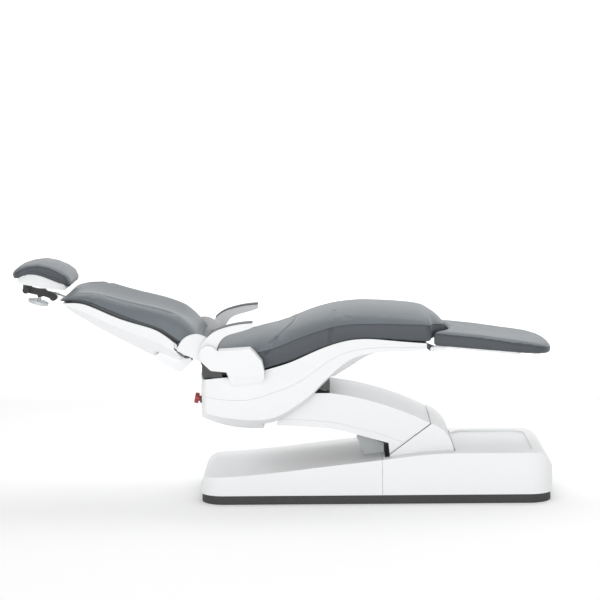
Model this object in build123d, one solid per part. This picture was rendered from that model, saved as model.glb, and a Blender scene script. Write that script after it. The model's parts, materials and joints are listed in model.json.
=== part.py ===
from build123d import *
import math
import os

# Dental chair. Millimetres. X runs from the head end (-X) to the foot end (+X), the
# patient's right side is -Y, Z is up, and the origin is on the floor at the base's centre.

# Driving dimensions
BASE_LENGTH = 1300
BASE_HALF_WIDTH = 250
BASE_CORNER = 90
SKIRT_HEIGHT = 33
COVER_WALL = 4
SHELL_WALL = 4
ANCHOR_X = 520
ANCHOR_Y = 180
ANCHOR_R = 7
LIFT_AXIS = (161, 171)
CARRIER_AXIS = (-334, 368)
LINK_SHIFT = (22, 50)
ROOT_RADIUS = 127
RECLINE_AXIS = (-609, 569)
FOOTREST_AXIS = (210, 564)
HEAD_LOWER_AXIS = (-1201, 750)
HEAD_UPPER_AXIS = (-1303, 777)
HEAD_SLOPE = 0.40
BACK_ANGLE = 25
ACTUATOR_Y = 165
ACTUATOR_Z = 80
LEVER_HEIGHT = 91
CRANK_R = 62
PIN_FIT = 0.05

LINK_BASE = (LIFT_AXIS[0] + LINK_SHIFT[0], LIFT_AXIS[1] + LINK_SHIFT[1])
LINK_SEAT = (CARRIER_AXIS[0] + LINK_SHIFT[0], CARRIER_AXIS[1] + LINK_SHIFT[1])

NODES = {}


def add(name, *solids):
    shape = solids[0]
    for other in solids[1:]:
        shape = shape + other
    NODES[name] = shape


def group(name, solids):
    NODES[name] = Compound(children=list(solids))


def side_edges(*runs):
    """Edges in the XZ plane: each run is ('line', points) or ('curve', points)."""
    edges = []
    for kind, points in runs:
        spots = [Vector(x, 0, z) for x, z in points]
        if kind == "curve":
            edges.append(Edge.make_spline(spots))
        else:
            for a, b in zip(spots, spots[1:]):
                edges.append(Edge.make_line(a, b))
    return edges


def side_face(*runs):
    return Face(Wire(side_edges(*runs)))


def prism(face, y0, y1):
    return Pos(0, y0, 0) * extrude(face, amount=y1 - y0, dir=(0, 1, 0))


def slab(points, y0, y1):
    """Flat plate in XZ between two Y values, from a closed polygon."""
    return prism(side_face(("line", list(points) + [points[0]])), y0, y1)


def pair(points, near, far):
    """The same plate on both sides, as one list."""
    return [slab(points, -far, -near), slab(points, near, far)]


def rod_y(centre, radius, y0, y1):
    x, z = centre
    return Pos(x, (y0 + y1) / 2, z) * Rot(90, 0, 0) * Cylinder(radius, y1 - y0)


def rod_along(start, end, radius):
    a = Vector(*start)
    b = Vector(*end)
    plane = Plane(origin=a, z_dir=b - a)
    return plane * Cylinder(radius, (b - a).length, align=(Align.CENTER, Align.CENTER, Align.MIN))


def block(x0, x1, y0, y1, z0, z1):
    return Pos((x0 + x1) / 2, (y0 + y1) / 2, (z0 + z1) / 2) * Box(x1 - x0, y1 - y0, z1 - z0)


def plan_solid(edges, z0, z1):
    face = Face(Wire(edges))
    return Pos(0, 0, z0) * extrude(face, amount=z1 - z0, dir=(0, 0, 1))


def line(a, b):
    return Edge.make_line(Vector(*a, 0), Vector(*b, 0))


def arc(a, m, b):
    return Edge.make_three_point_arc(Vector(*a, 0), Vector(*m, 0), Vector(*b, 0))


def bar_points(a, b, low, high, start=0, end=0):
    """Rectangle along a-b in XZ, from low to high across it."""
    length = math.dist(a, b)
    ux, uz = (b[0] - a[0]) / length, (b[1] - a[1]) / length
    nx, nz = (-uz, ux) if ux > 0 else (uz, -ux)
    spots = []
    for along, across in ((start, low), (length - end, low), (length - end, high), (start, high)):
        spots.append((a[0] + ux * along + nx * across, a[1] + uz * along + nz * across))
    return spots


# ---------------------------------------------------------------- base
def base_block(inset):
    half_x = BASE_LENGTH / 2 - inset
    half_y = BASE_HALF_WIDTH - inset
    radius = BASE_CORNER - inset
    plan = extrude(RectangleRounded(2 * half_x + 6, 2 * half_y, radius), amount=320)
    left, right = -half_x, half_x
    face = side_face(
        ("line", [(right, 10), (right, 108)]),
        ("curve", [(right, 108), (right - 6, 140), (right - 22, 166), (right - 46, 183 - inset * 0.7), (right - 72, 187 - inset)]),
        ("line", [(right - 72, 187 - inset), (260, 187 - inset)]),
        ("curve", [(260, 187 - inset), (200, 184 - inset), (20, 164 - inset), (-167, 143 - inset), (-354, 121 - inset), (left + 50, 102 - inset)]),
        ("curve", [(left + 50, 102 - inset), (left + 26, 97 - inset), (left + 9, 84 - inset * 0.6), (left + 3, 66)]),
        ("line", [(left + 3, 66), (left, 10), (right, 10)]),
    )
    return prism(face, -half_y - 20, half_y + 20) & plan


base_outer = base_block(0)
base_inner = base_block(COVER_WALL)
base_shell = base_outer - base_inner
SEAM_X = 22
head_cover = base_shell & block(-700, SEAM_X - 0.5, -300, 300, SKIRT_HEIGHT + 0.3, 300)
foot_cover = base_shell & block(SEAM_X + 0.5, 700, -300, 300, SKIRT_HEIGHT + 0.3, 300)
slot_end = LIFT_AXIS[0] + ROOT_RADIUS + 4
foot_cover = foot_cover - block(33, slot_end, -205, 205, 100, 300)
head_cover = head_cover - block(-34, SEAM_X + 5, -101, 101, 100, 300)
foot_cover = foot_cover - block(SEAM_X - 5, 34, -101, 101, 100, 300)

# Instrument tray recess in the foot cover's top
tray_plan = Pos(437, 0, 0) * RectangleRounded(284, 424, 60)
tray_cut = Pos(0, 0, 179) * extrude(tray_plan, amount=30)
tray_under = Pos(0, 0, 175) * extrude(Pos(437, 0, 0) * RectangleRounded(292, 432, 64), amount=9)
foot_cover = foot_cover + (tray_under & base_outer) - tray_cut

# Openings for the mains inlet, the rocker switch and the cable gland
INLET_X, ROCKER_X, GLAND_X, INLET_Z = 455, 400, 520, 78
foot_cover = foot_cover - block(INLET_X - 19.5, INLET_X + 19.5, 240, 256, INLET_Z - 12.5, INLET_Z + 12.5)
foot_cover = foot_cover - block(ROCKER_X - 14.5, ROCKER_X + 14.5, 240, 256, INLET_Z - 11.5, INLET_Z + 11.5)
foot_cover = foot_cover - rod_y((GLAND_X, INLET_Z), 9.2, 240, 256)
add("base_head_cover", head_cover)
add("base_foot_cover", foot_cover)

skirt_outer = extrude(RectangleRounded(BASE_LENGTH - 8, 2 * BASE_HALF_WIDTH - 8, BASE_CORNER - 4), amount=SKIRT_HEIGHT)
skirt_inner = extrude(RectangleRounded(BASE_LENGTH - 18, 2 * BASE_HALF_WIDTH - 18, BASE_CORNER - 9), amount=SKIRT_HEIGHT)
add("base_skirt", skirt_outer - skirt_inner)

floor_plate = block(-600, 600, -215, 215, 0, 12)
for sx in (-1, 1):
    for sy in (-1, 1):
        floor_plate = floor_plate - Pos(sx * ANCHOR_X, sy * ANCHOR_Y, 6) * Cylinder(ANCHOR_R, 30)
        floor_plate = floor_plate - Pos(sx * 585, sy * 130, 6) * Cylinder(6, 30)
pedestal = [(92, 11), (236, 11), (218, 90), (206, 221), (160, 221), (129, 171)]
frame = floor_plate
for plate in pair(pedestal, 110, 124):
    frame = frame + plate
for sy in (-1, 1):
    frame = frame + rod_y(LIFT_AXIS, 32, min(sy * 110, sy * 124), max(sy * 110, sy * 124))
    frame = frame + rod_y(LINK_BASE, 24, min(sy * 110, sy * 124), max(sy * 110, sy * 124))
frame = frame + slab([(92, 11), (104, 11), (128, 120), (116, 120)], -112, 112)
frame = frame - rod_y(LIFT_AXIS, 15, -130, 130) - rod_y(LINK_BASE, 10, -130, 130)
for y0, y1 in ((ACTUATOR_Y - 26, ACTUATOR_Y - 14), (ACTUATOR_Y + 14, ACTUATOR_Y + 26)):
    ear = slab([(560, 11), (598, 11), (594, 95), (566, 95)], y0, y1)
    frame = frame + ear
frame = frame - rod_y((580, ACTUATOR_Z), 8, ACTUATOR_Y - 30, ACTUATOR_Y + 30)
add("base_frame", frame)

screws = []
for sx in (-1, 1):
    for sy in (-1, 1):
        shank = Pos(sx * 585, sy * 130, 0) * Cylinder(6, 12.2, align=(Align.CENTER, Align.CENTER, Align.MIN))
        head = Pos(sx * 585, sy * 130, 12.2) * extrude(RegularPolygon(10, 6), amount=8)
        screws.append(shank + head)
group("levelling_screws", screws)

add("lift_shaft", rod_y(LIFT_AXIS, 15, -152, 152))
add("link_pin_base", rod_y(LINK_BASE, 10, -124, 124))

# Pinch guard under the arm, open above
hood_side = [(-72, 228), (-38, 150), (31, 150), (31, 228)]
hood_parts = pair(hood_side, 101.3, 105)
hood_end = slab([(-66.5, 215), (-38, 150), (-33, 150), (-60, 215)], -101.3, 101.3)
hood = hood_end
for plate in hood_parts:
    hood = hood + plate
hood_keep = Pos(0, 0, 0.4) * base_outer
add("base_hood", hood - hood_keep)

add("power_supply", fillet(block(-480, -310, 40, 170, 12.3, 76).edges().filter_by(Axis.Z), 6))
control = fillet(block(-490, -300, -170, -30, 12.3, 62).edges().filter_by(Axis.Z), 8)
add("control_box", control)

inlet = block(INLET_X - 25, INLET_X + 25, 250.2, 253, INLET_Z - 16, INLET_Z + 16)
inlet = inlet + block(INLET_X - 19, INLET_X + 19, 222, 250.2, INLET_Z - 12, INLET_Z + 12)
inlet = inlet - block(INLET_X - 12, INLET_X + 12, 232, 260, INLET_Z - 8, INLET_Z + 8)
for dx in (-5, 0, 5):
    inlet = inlet + block(INLET_X + dx - 1, INLET_X + dx + 1, 231, 247, INLET_Z - 3, INLET_Z + 3)
add("power_inlet", inlet)
bezel = block(ROCKER_X - 17, ROCKER_X + 17, 250.2, 252.4, INLET_Z - 14, INLET_Z + 14)
bezel = bezel + block(ROCKER_X - 14, ROCKER_X + 14, 230, 250.2, INLET_Z - 11, INLET_Z + 11)
bezel = bezel - block(ROCKER_X - 11, ROCKER_X + 11, 236, 260, INLET_Z - 8, INLET_Z + 8)
bezel = bezel - rod_along((ROCKER_X - 13.3, 247, INLET_Z), (ROCKER_X + 13.3, 247, INLET_Z), 1.5 + PIN_FIT)
add("rocker_bezel", bezel)
rocker = slab([(ROCKER_X - 10, INLET_Z - 7), (ROCKER_X + 10, INLET_Z - 7), (ROCKER_X + 10, INLET_Z + 7), (ROCKER_X - 10, INLET_Z + 7)], 245, 252)
rocker = rocker - Pos(ROCKER_X, 256.5, INLET_Z + 7) * Rot(24, 0, 0) * Box(40, 8, 20)
rocker = rocker + rod_along((ROCKER_X - 13, 247, INLET_Z), (ROCKER_X + 13, 247, INLET_Z), 1.5)
add("power_rocker", rocker)
gland = rod_y((GLAND_X, INLET_Z), 9, 236, 250.2) + rod_y((GLAND_X, INLET_Z), 13, 250.2, 258)
gland = gland + rod_y((GLAND_X, INLET_Z), 10.5, 258, 264) - rod_y((GLAND_X, INLET_Z), 5, 230, 270)
add("cable_gland", gland)

# Lift actuator: motor, gearbox and tube; the rod is a separate body
tube = rod_along((330, ACTUATOR_Y, ACTUATOR_Z), (500, ACTUATOR_Y, ACTUATOR_Z), 23)
gearbox = block(500, 555, ACTUATOR_Y - 30, ACTUATOR_Y + 30, ACTUATOR_Z - 34, ACTUATOR_Z + 34)
gearbox = gearbox + block(555, 566, ACTUATOR_Y - 13, ACTUATOR_Y + 13, ACTUATOR_Z - 12, ACTUATOR_Z + 12)
gearbox = gearbox + rod_y((580, ACTUATOR_Z), 13, ACTUATOR_Y - 13, ACTUATOR_Y + 13)
gearbox = gearbox + block(555, 580, ACTUATOR_Y - 13, ACTUATOR_Y + 13, ACTUATOR_Z - 12, ACTUATOR_Z + 12)
motor = rod_y((528, ACTUATOR_Z), 27, ACTUATOR_Y - 150, ACTUATOR_Y - 30)
actuator = tube + gearbox + motor
actuator = actuator - rod_along((320, ACTUATOR_Y, ACTUATOR_Z), (488, ACTUATOR_Y, ACTUATOR_Z), 12 + PIN_FIT)
actuator = actuator - rod_y((580, ACTUATOR_Z), 8 + PIN_FIT, ACTUATOR_Y - 20, ACTUATOR_Y + 20)
add("lift_actuator", actuator)
add("actuator_pin", rod_y((580, ACTUATOR_Z), 8, ACTUATOR_Y - 28, ACTUATOR_Y + 28))

LEVER_TILT = 5
lever_pin = (LIFT_AXIS[0] + LEVER_HEIGHT * math.tan(math.radians(LEVER_TILT)), ACTUATOR_Z)
ram = rod_along((lever_pin[0] + 10, ACTUATOR_Y, ACTUATOR_Z), (445, ACTUATOR_Y, ACTUATOR_Z), 12)
ram = ram + rod_y(lever_pin, 17, 152, 178) + rod_y(lever_pin, 9, 132, 178)
add("lift_rod", ram)

# ---------------------------------------------------------------- lift arm
beam = bar_points(LIFT_AXIS, CARRIER_AXIS, -14, 30)
beam_top = bar_points(LIFT_AXIS, CARRIER_AXIS, 20, 50, 70, 190)
arm = None
for y0, y1 in ((-149, -135), (135, 149)):
    plate = slab(beam, y0, y1) + slab(beam_top, y0, y1)
    plate = plate + rod_y(LIFT_AXIS, 32, y0, y1) + rod_y(CARRIER_AXIS, 27, y0, y1)
    arm = plate if arm is None else arm + plate
tilt = math.radians(LEVER_TILT)
lever_far = (LIFT_AXIS[0] + 104 * math.sin(tilt), LIFT_AXIS[1] - 104 * math.cos(tilt))
arm = arm + slab(bar_points(LIFT_AXIS, lever_far, -22, 22), 135, 149)
cross = (LIFT_AXIS[0] - 341, LIFT_AXIS[1] + 140)
arm = arm + rod_y(cross, 15, -135, 135)
arm = arm - rod_y(LIFT_AXIS, 15 + PIN_FIT, -160, 160) - rod_y(CARRIER_AXIS, 14, -160, 160)
slot_in = (LIFT_AXIS[0] + 77 * math.sin(tilt), LIFT_AXIS[1] - 77 * math.cos(tilt))
slot_out = (LIFT_AXIS[0] + 118 * math.sin(tilt), LIFT_AXIS[1] - 118 * math.cos(tilt))
arm = arm - slab(bar_points(slot_in, slot_out, -10.6, 10.6), 130, 152)
add("lift_arm_frame", arm)
add("carrier_shaft", rod_y(CARRIER_AXIS, 14, -152, 152))

ARM_TOP = [(-169, 403), (-77, 388), (25, 361), (83, 341), (140, 318), (200, 289)]
ARM_LOW = [(46, 217), (15, 225), (-77, 250), (-149, 268), (-239, 277), (-300, 281), (-368, 283)]


def arm_plan(shrink):
    root, tip = 199 - shrink, 176 - shrink
    ends = [line((-420, -tip), (240, -root)), line((240, -root), (240, root)), line((240, root), (-420, tip)), line((-420, tip), (-420, -tip))]
    return plan_solid(ends, 100, 500)


arm_face = side_face(
    ("curve", ARM_TOP),
    ("line", [(200, 289), (50, 175), (46, 217)]),
    ("curve", ARM_LOW),
    ("line", [(-368, 283), (-321, 402), (-169, 403)]),
)
arm_body = prism(arm_face, -230, 230) & arm_plan(0)
inner_face = side_face(
    ("line", [(-169, 450), (-169, 398.5)]),
    ("curve", [(x, z - 4.5) for x, z in ARM_TOP]),
    ("line", [(200, 284.5), (300, 200), (300, 90), (-450, 90), (-450, 450), (-169, 450)]),
)
arm_hollow = prism(inner_face, -230, 230) & arm_plan(4)
cover = arm_body - arm_hollow
TRIM = [(120, 212), (44, 240), (15, 250), (-77, 275), (-149, 292), (-239, 301), (-300, 304), (-362, 306)]
band_zone = side_face(("curve", TRIM), ("line", [(-362, 306), (-420, 306), (-420, 120), (120, 120), (120, 212)]))
band_zone = prism(band_zone, -240, 240)
cover_upper = cover - (Pos(0, 0, 0.5) * band_zone)
band_body = (arm_body & band_zone) - arm_plan(4)
add("arm_cover", cover_upper)
add("arm_lower_band", band_body)

# Root cover: a drum concentric with the lift axis
px, pz = LIFT_AXIS
end_low = math.radians(-8)
drum = rod_y(LIFT_AXIS, ROOT_RADIUS, -202, 202)
drum_core = rod_y(LIFT_AXIS, ROOT_RADIUS - 4, -198, 198)
keep = slab([(50.6, 174), (206.5, 290.6), (260, 330), (330, 330), (330, 20), (50.6, 20)], -210, 210)
rim_open = slab(
    [
        (px, pz),
        (px + 200 * math.cos(end_low), pz + 200 * math.sin(end_low)),
        (px + 200, 0),
        (0, 0),
        (0, 160),
    ],
    -197.9,
    197.9,
)
root = (drum - drum_core) & keep
root = root - rim_open
add("arm_root_cover", root)

link = slab(bar_points(LINK_BASE, LINK_SEAT, -14, 14), -15, 15)
link = link + rod_y(LINK_BASE, 21, -15, 15) + rod_y(LINK_SEAT, 21, -15, 15)
link = link - rod_y(LINK_BASE, 10 + PIN_FIT, -20, 20) - rod_y(LINK_SEAT, 10.6, -20, 20)
add("level_link", link)

# ---------------------------------------------------------------- seat
SHELL_TOP = [(-650, 462), (-545, 473), (-470, 482), (-401, 500), (-307, 529), (-244, 557), (-167, 588), (-92, 607), (-36, 611), (47, 605), (120, 598), (186, 593)]
SHELL_SEAM = [(-650, 410), (-577, 393), (-520, 388), (-455, 391), (-388, 411), (-314, 438), (-244, 478), (-204, 508), (-148, 545), (-92, 566), (-8, 577), (90, 578), (186, 581)]
SHELL_EDGE = [(-650, 350), (-578, 329), (-508, 318), (-430, 314), (-368, 325), (-297, 364), (-245, 402), (-200, 446), (-150, 493), (-95, 534), (-30, 556), (60, 563), (186, 570)]
SHELL_PAN = [(-650, 321), (-578, 290), (-508, 275), (-430, 271), (-368, 279), (-310, 318), (-250, 366), (-200, 420), (-150, 464), (-95, 498), (-30, 537), (60, 560), (186, 568)]
SEAT_HALF = 240


def seat_plan(shrink, z0=200, z1=700, far=186):
    half = SEAT_HALF - shrink
    tip = -650 + shrink
    shoulder = tip + 16
    end = far - shrink
    edges = [
        arc((shoulder + 22, -half), (shoulder + 5, -half + 6), (shoulder, -half + 24)),
        arc((shoulder, -half + 24), (tip, 0), (shoulder, half - 24)),
        arc((shoulder, half - 24), (shoulder + 5, half - 6), (shoulder + 22, half)),
        line((shoulder + 22, half), (end, half)),
        line((end, half), (end, -half)),
        line((end, -half), (shoulder + 22, -half)),
    ]
    return plan_solid(edges, z0, z1)


def shifted(points, dz):
    return [(x, z + dz) for x, z in points]


def band_face(top, low):
    rev = list(reversed(low))
    return side_face(("curve", top), ("line", [top[-1], rev[0]]), ("curve", rev), ("line", [rev[-1], top[0]]))


upper = prism(band_face(shifted(SHELL_TOP, -0.3), shifted(SHELL_SEAM, 0.3)), -SEAT_HALF, SEAT_HALF)
upper = (upper & seat_plan(0)) - seat_plan(SHELL_WALL)
for sy in (-1, 1):
    y0, y1 = min(sy * 147, sy * 173), max(sy * 147, sy * 173)
    upper = upper - block(170, 200, y0, y1, 500, 588)
add("seat_shell_upper", upper)


def belly(lift, half, pan_half, top_extra):
    sections = []
    top = shifted(SHELL_SEAM, top_extra)
    for y, low in ((-half, SHELL_EDGE), (-pan_half, SHELL_PAN), (pan_half, SHELL_PAN), (half, SHELL_EDGE)):
        face = band_face(top, shifted(low, lift))
        sections.append(Pos(0, y, 0) * face)
    solid = None
    for a, b in zip(sections, sections[1:]):
        piece = loft([a, b], ruled=True)
        solid = piece if solid is None else solid + piece
    return solid


lower = belly(0, SEAT_HALF, 165, -0.3) & seat_plan(0)
lower = lower - (belly(SHELL_WALL + 0.5, SEAT_HALF + 6, 163, 40) & seat_plan(SHELL_WALL))
lower = lower - block(-392, -158, -166, 166, 200, 470)
lower = lower - block(-414, -158, -206, 206, 200, 470)
for sy in (-1, 1):
    y0, y1 = min(sy * 147, sy * 173), max(sy * 147, sy * 173)
    lower = lower - block(170, 200, y0, y1, 500, 640)
lower = lower - rod_along((-700, 0, 363.7), (-600, 0, 344.2), 16.3)
add("seat_shell_lower", lower)

# Welded seat frame: pan, carrier plates, recline cheeks, crank ears, footrest ears
PAN_TOP = [(-640, 461), (-545, 472.5), (-470, 481.5), (-401, 499.5), (-307, 528.5), (-244, 556.5), (-167, 587.5), (-92, 606.5), (-36, 610.5), (47, 604.5), (120, 597.5), (180, 592.5)]
pan = prism(band_face(shifted(PAN_TOP, -0.5), shifted(PAN_TOP, -6)), -232, 232)
pan = pan - block(-700, -560, -240, -226, 400, 700) - block(-700, -560, 226, 240, 400, 700)
seat_frame = pan & seat_plan(6)
carrier = [(-440, 486), (-372, 372), (-362, 352), (-334, 340), (-304, 356), (-286, 400), (-205, 566)]
for plate in pair(carrier, 118, 130):
    seat_frame = seat_frame + (plate - prism(side_face(("curve", shifted(PAN_TOP, -3)), ("line", [(180, 589.5), (180, 800), (-640, 800), (-640, 458)])), -140, 140))
for sy in (-1, 1):
    y0, y1 = min(sy * 118, sy * 130), max(sy * 118, sy * 130)
    seat_frame = seat_frame + rod_y(CARRIER_AXIS, 28, y0, y1) + rod_y(LINK_SEAT, 22, y0, y1)
    c0, c1 = min(sy * 224, sy * 230), max(sy * 224, sy * 230)
    cheek = slab([(-600, 458), (-560, 466), (-572, 560), (-592, 584), (-626, 584), (-632, 560), (-632, 505), (-600, 472)], c0, c1)
    seat_frame = seat_frame + cheek + rod_y(RECLINE_AXIS, 20, c0, c1)
    f0, f1 = min(sy * 150, sy * 170), max(sy * 150, sy * 170)
    seat_frame = seat_frame + slab([(120, 594), (176, 589), (210, 574), (216, 557), (203, 554), (176, 572), (120, 586)], f0, f1)
    seat_frame = seat_frame + rod_y(FOOTREST_AXIS, 10, f0, f1)
crank_angle = math.radians(227)
CRANK_PIN = (RECLINE_AXIS[0] + CRANK_R * math.cos(crank_angle), RECLINE_AXIS[1] + CRANK_R * math.sin(crank_angle))
ear = [(-636, 456), (-603, 460), (-603, 498), (-642, 534), (-663, 520)]
for plate in pair(ear, 23, 31):
    seat_frame = seat_frame + plate
for sy in (-1, 1):
    y0, y1 = min(sy * 23, sy * 31), max(sy * 23, sy * 31)
    seat_frame = seat_frame + rod_y(CRANK_PIN, 15, y0, y1)
seat_frame = seat_frame - rod_y(CARRIER_AXIS, 14 + PIN_FIT, -140, 140) - rod_y(LINK_SEAT, 10, -140, 140)
seat_frame = seat_frame - rod_y(CRANK_PIN, 9, -40, 40) - rod_y(RECLINE_AXIS, 12, -240, 240)
seat_frame = seat_frame - rod_y(FOOTREST_AXIS, 6, -180, 180)
add("seat_frame", seat_frame)
add("link_pin_seat", rod_y(LINK_SEAT, 10, -130, 130))
add("crank_pin", rod_y(CRANK_PIN, 9, -33, 33))
add("recline_pin_right", rod_y(RECLINE_AXIS, 12, -310, -220))
add("recline_pin_left", rod_y(RECLINE_AXIS, 12, 220, 310))

hip = []
for y0, y1 in ((-222, -38), (38, 222)):
    block_face = side_face(
        ("line", [(-601, 469.5), (-601, 541)]),
        ("curve", [(-601, 541), (-618, 538), (-631, 526), (-636, 505), (-636, 484)]),
        ("line", [(-636, 484), (-630, 466.5), (-601, 469.5)]),
    )
    hip.append(prism(block_face, y0, y1))
group("hip_cover", hip)

SEAT_CROWN = [(-594, 572), (-575, 588), (-540, 596), (-500, 603), (-454, 613), (-411, 625), (-356, 637), (-318, 649), (-268, 671), (-213, 691), (-165, 703), (-110, 712), (-46, 717), (59, 712), (130, 705), (200, 695)]
seat_low = shifted(SHELL_TOP, 0.3)
seat_low[0] = (-598, 468.5)
seat_face = side_face(
    ("curve", SEAT_CROWN),
    ("line", [(200, 695), (290, 672), (290, 602), (186, 593.3)]),
    ("curve", list(reversed(seat_low))),
    ("line", [(-598, 468.5), (-598, 560), (-594, 572)]),
)
FOOT_HALF = [(186, 249), (199, 244), (205, 229), (205, 198), (214, 171), (236, 124), (259, 64)]
FOOT_END = [(x, -y) for x, y in FOOT_HALF] + [(268, 0)] + list(reversed(FOOT_HALF))
seat_plan_edges = [
    line((-600, -222), (-560, -222)),
    Edge.make_spline([Vector(-560, -222, 0), Vector(-500, -232, 0), (Vector(-440, -245, 0)), Vector(-400, -249, 0)]),
    line((-400, -249), (186, -249)),
    Edge.make_spline([Vector(x, y, 0) for x, y in FOOT_END]),
    line((186, 249), (-400, 249)),
    Edge.make_spline([Vector(-400, 249, 0), Vector(-440, 245, 0), Vector(-500, 232, 0), Vector(-560, 222, 0)]),
    line((-560, 222), (-600, 222)),
    line((-600, 222), (-600, -222)),
]
seat_cushion = prism(seat_face, -260, 260) & plan_solid(seat_plan_edges, 400, 800)
add("seat_cushion", seat_cushion)

# Emergency stop on the head end of the seat shell
STOP_START = Vector(-640, 0, 352)
stop_dir = Vector(-0.9816, 0, 0.1908)
collar = rod_along(tuple(STOP_START), tuple(STOP_START + stop_dir * 17), 16)
collar = collar - rod_along(tuple(STOP_START - stop_dir * 20), tuple(STOP_START + stop_dir * 30), 11)
add("estop_collar", collar)
button = rod_along(tuple(STOP_START + stop_dir * 2), tuple(STOP_START + stop_dir * 24), 10.5)
button = button + rod_along(tuple(STOP_START + stop_dir * 24), tuple(STOP_START + stop_dir * 39), 20)
add("estop_button", button)

# ---------------------------------------------------------------- armrests and their brackets
BRACKET = [(-574, 581), (-457, 588), (-438, 570), (-414, 541), (-407, 511), (-405, 478), (-415, 463), (-522, 451), (-536, 488), (-542, 503), (-598, 509), (-630, 539), (-640, 566), (-634, 588), (-614, 601), (-592, 598)]
ARM_OUT = [(-637, 588), (-629, 606), (-612, 627), (-591, 645), (-542, 665), (-487, 676), (-446, 679)]
ARM_IN = [(-446, 664), (-470, 655), (-517, 642), (-550, 628), (-568, 606), (-578, 582)]


def bevel_cut(side):
    slope = math.atan2(16, 118)
    beta = math.radians(20)
    origin = Vector(-477, side * 312, 496)
    normal = Vector(math.sin(slope) * math.sin(beta), side * math.cos(beta), -math.cos(slope) * math.sin(beta))
    plane = Plane(origin=origin, x_dir=(math.cos(slope), 0, math.sin(slope)), z_dir=normal)
    return plane * Pos(0, 0, 40) * Box(400, 300, 80)


for side, name in ((-1, "right"), (1, "left")):
    def span(a, b):
        return (min(side * a, side * b), max(side * a, side * b))

    full = slab(BRACKET, *span(250.4, 312))
    clear = rod_y(RECLINE_AXIS, 39, *span(245, 297.5))
    clear = clear + slab([(-720, 400), (-609, 400), (-574, 540), (-574, 700), (-720, 700)], *span(245, 297.5))
    bracket = full - clear
    bracket = bracket + slab([(-552, 452), (-430, 463), (-430, 479), (-545, 470)], *span(240.3, 252))
    bracket = bracket - bevel_cut(side) - rod_y(RECLINE_AXIS, 12, *span(240, 310.2))
    add("armrest_bracket_" + name, bracket)

    arm_rest = prism(side_face(("curve", ARM_OUT), ("line", [(-446, 679), (-446, 664)]), ("curve", ARM_IN), ("line", [(-578, 582), (-609, 560), (-637, 588)])), *span(264, 294))
    arm_rest = arm_rest + rod_y(RECLINE_AXIS, 33, *span(264, 296))
    arm_rest = arm_rest - rod_y(RECLINE_AXIS, 12 + PIN_FIT, *span(255, 300))
    add("armrest_" + name, arm_rest)
    pad_top = [(x + 0.5, z + 6) for x, z in ARM_OUT[2:]]
    pad_low = [(x, z + 0.3) for x, z in ARM_OUT[2:]]
    pad = prism(side_face(("curve", pad_top), ("line", [pad_top[-1], pad_low[-1]]), ("curve", list(reversed(pad_low))), ("line", [pad_low[0], pad_top[0]])), *span(263, 295))
    add("armrest_pad_" + name, pad)

# ---------------------------------------------------------------- backrest
BACK_TOP = [(-1137, 752), (-1104, 753), (-1070, 750), (-1033, 738), (-997, 722), (-924, 691), (-850, 668), (-795, 648), (-754, 620), (-725, 596), (-700, 578)]
BACK_FOLD = [(-1132, 745), (-1105, 736), (-1080, 727), (-1045, 711), (-1008, 694), (-935, 660), (-862, 632), (-810, 611), (-775, 594), (-740, 573), (-708, 556)]
BACK_PAN = [(-1126, 722), (-1105, 706), (-1080, 690), (-1044, 668), (-1010, 648), (-935, 607), (-865, 571), (-815, 547), (-780, 535), (-745, 524), (-714, 515)]


def back_section(y, top, low):
    rev = list(reversed(low))
    return Pos(0, y, 0) * side_face(("curve", top), ("line", [top[-1], rev[0]]), ("curve", rev), ("line", [rev[-1], top[0]]))


def back_solid(half, pan_half, lift, top_lift, slide):
    top = [(x + slide, z + top_lift) for x, z in BACK_TOP]
    fold = [(x + slide, z + lift) for x, z in BACK_FOLD]
    low = [(x + slide, z + lift) for x, z in BACK_PAN]
    solid = None
    stations = ((-half, fold), (-pan_half, low), (pan_half, low), (half, fold))
    for (ya, la), (yb, lb) in zip(stations, stations[1:]):
        piece = loft([back_section(ya, top, la), back_section(yb, top, lb)], ruled=True)
        solid = piece if solid is None else solid + piece
    return solid


above_back = side_face(
    ("curve", shifted(BACK_TOP[:-1], -0.1)),
    ("line", [(-725, 595.9), (-600, 560), (-600, 1000), (-1300, 1000), (-1300, 744), (-1137, 751.9)]),
)
above_back = prism(above_back, -300, 300)
back_shell = back_solid(250, 175, 0, -0.3, 0) - back_solid(246, 172, 4.5, 60, 5)
boot_outer = slab([(-812, 549), (-792, 530), (-727, 493), (-711, 490), (-690, 510), (-672, 530), (-684, 552), (-706, 560), (-760, 585)], -205, 205)
boot_inner = slab([(-830, 580), (-790, 536), (-727, 498), (-713, 495), (-694, 513), (-640, 560), (-640, 640), (-760, 640)], -201, 201)
boot = boot_outer - boot_inner
back_shell = back_shell - slab([(-800, 560), (-785, 534), (-727, 498), (-640, 500), (-640, 640), (-735, 640)], -200.5, 200.5)
back_shell = back_shell + boot
back_shell = back_shell - block(-720, -640, -40, 40, 480, 560)
back_shell = back_shell - slab([(-1165, 756), (-1165, 723), (-1050, 677), (-1050, 712)], -30, 30)
back_shell = back_shell - slab([(-735, 640), (-735, 580), (-700, 540), (-640, 540), (-640, 640)], -260, 260)
back_shell = back_shell - above_back
add("backrest_shell", back_shell)

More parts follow.
